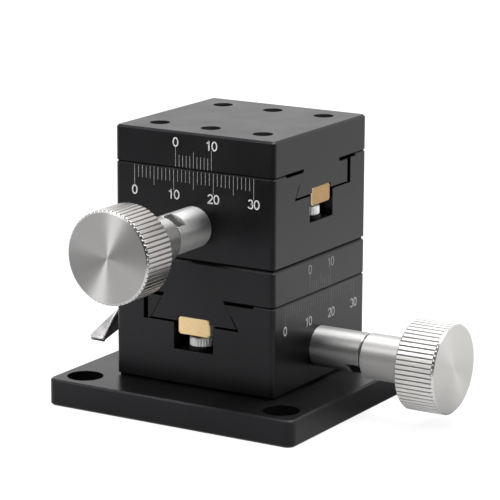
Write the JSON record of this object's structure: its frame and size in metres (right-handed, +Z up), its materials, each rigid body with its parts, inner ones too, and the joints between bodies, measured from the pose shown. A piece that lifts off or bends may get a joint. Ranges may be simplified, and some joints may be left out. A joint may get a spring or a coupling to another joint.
{
  "type": "xy translation stage",
  "caption": "Manual XY translation stage: crossed dovetail slides with rack-and-pinion knobs, gib locks and a vernier on each axis, on a square base plate.",
  "frame": {"origin": "centre of the base plate's underside", "axes": "+Z up through both stages; +X along the lower knob's shaft; -Y along the upper knob's shaft"},
  "size_m": [0.0838, 0.0838, 0.062],
  "materials": {
    "black_anodised": "matte black anodised",
    "stainless": "turned, satin",
    "brass": "milled",
    "dark_steel": "black oxide",
    "polymer": "matte"
  },
  "bodies": {
    "base": {"base_plate": "black_anodised", "lower_body": "black_anodised", "lower_gib": "black_anodised", "lower_gib_screws": "dark_steel", "lower_lock_pad": "brass", "lower_bush": "stainless", "lower_bush_lock_screw": "dark_steel", "lower_body_screws": "stainless", "lower_spring_washers": "dark_steel", "lower_stop_pin": "stainless"},
    "lower_carriage": {"lower_slider": "black_anodised", "lower_rack": "brass", "lower_rack_screws": "dark_steel", "upper_body": "black_anodised", "upper_gib": "black_anodised", "upper_gib_screws": "dark_steel", "upper_lock_pad": "brass", "upper_bush": "stainless", "upper_bush_lock_screw": "dark_steel", "upper_body_screws": "stainless", "upper_spring_washers": "dark_steel", "upper_stop_pin": "stainless"},
    "upper_carriage": {"upper_slider": "black_anodised", "upper_rack": "brass", "upper_rack_screws": "dark_steel"},
    "lower_drive": {"lower_pinion_shaft": "stainless", "lower_pinion_gear": "brass", "lower_pinion_set_screw": "dark_steel", "lower_thrust_washer": "polymer", "lower_knob": "stainless", "lower_knob_set_screw": "dark_steel"},
    "upper_drive": {"upper_pinion_shaft": "stainless", "upper_pinion_gear": "brass", "upper_pinion_set_screw": "dark_steel", "upper_thrust_washer": "polymer", "upper_knob": "stainless", "upper_knob_set_screw": "dark_steel"},
    "lower_lock": {"lower_lock_screw": "stainless", "lower_lock_lever": "stainless"},
    "upper_lock": {"upper_lock_screw": "stainless", "upper_lock_lever": "stainless"}
  },
  "joints": [
    {"name": "lower_travel", "type": "slide", "parent": "base", "child": "lower_carriage", "axis": [0, 1, 0], "range_m": [-0.01, 0.01]},
    {"name": "upper_travel", "type": "slide", "parent": "lower_carriage", "child": "upper_carriage", "axis": [1, 0, 0], "range_m": [-0.01, 0.01]},
    {"name": "lower_knob_turn", "type": "hinge", "parent": "base", "child": "lower_drive", "pos_m": [0.04, 0, 0.01323], "axis": [-1, 0, 0], "range_deg": [-121, 121]},
    {"name": "upper_knob_turn", "type": "hinge", "parent": "lower_carriage", "child": "upper_drive", "pos_m": [0, -0.04, 0.04122], "axis": [0, 1, 0], "range_deg": [-121, 121]},
    {"name": "lower_lock_turn", "type": "hinge", "parent": "base", "child": "lower_lock", "pos_m": [-0.022, 0, 0.0226], "axis": [-1, 0, 0], "range_deg": [-15, 45]},
    {"name": "upper_lock_turn", "type": "hinge", "parent": "lower_carriage", "child": "upper_lock", "pos_m": [0, 0.022, 0.0506], "axis": [0, 1, 0], "range_deg": [-15, 45]}
  ],
  "couplings": [
    {"joint": "lower_knob_turn", "follows": "lower_travel", "rad_per_m": 210.53},
    {"joint": "upper_knob_turn", "follows": "upper_travel", "rad_per_m": 210.53}
  ]
}
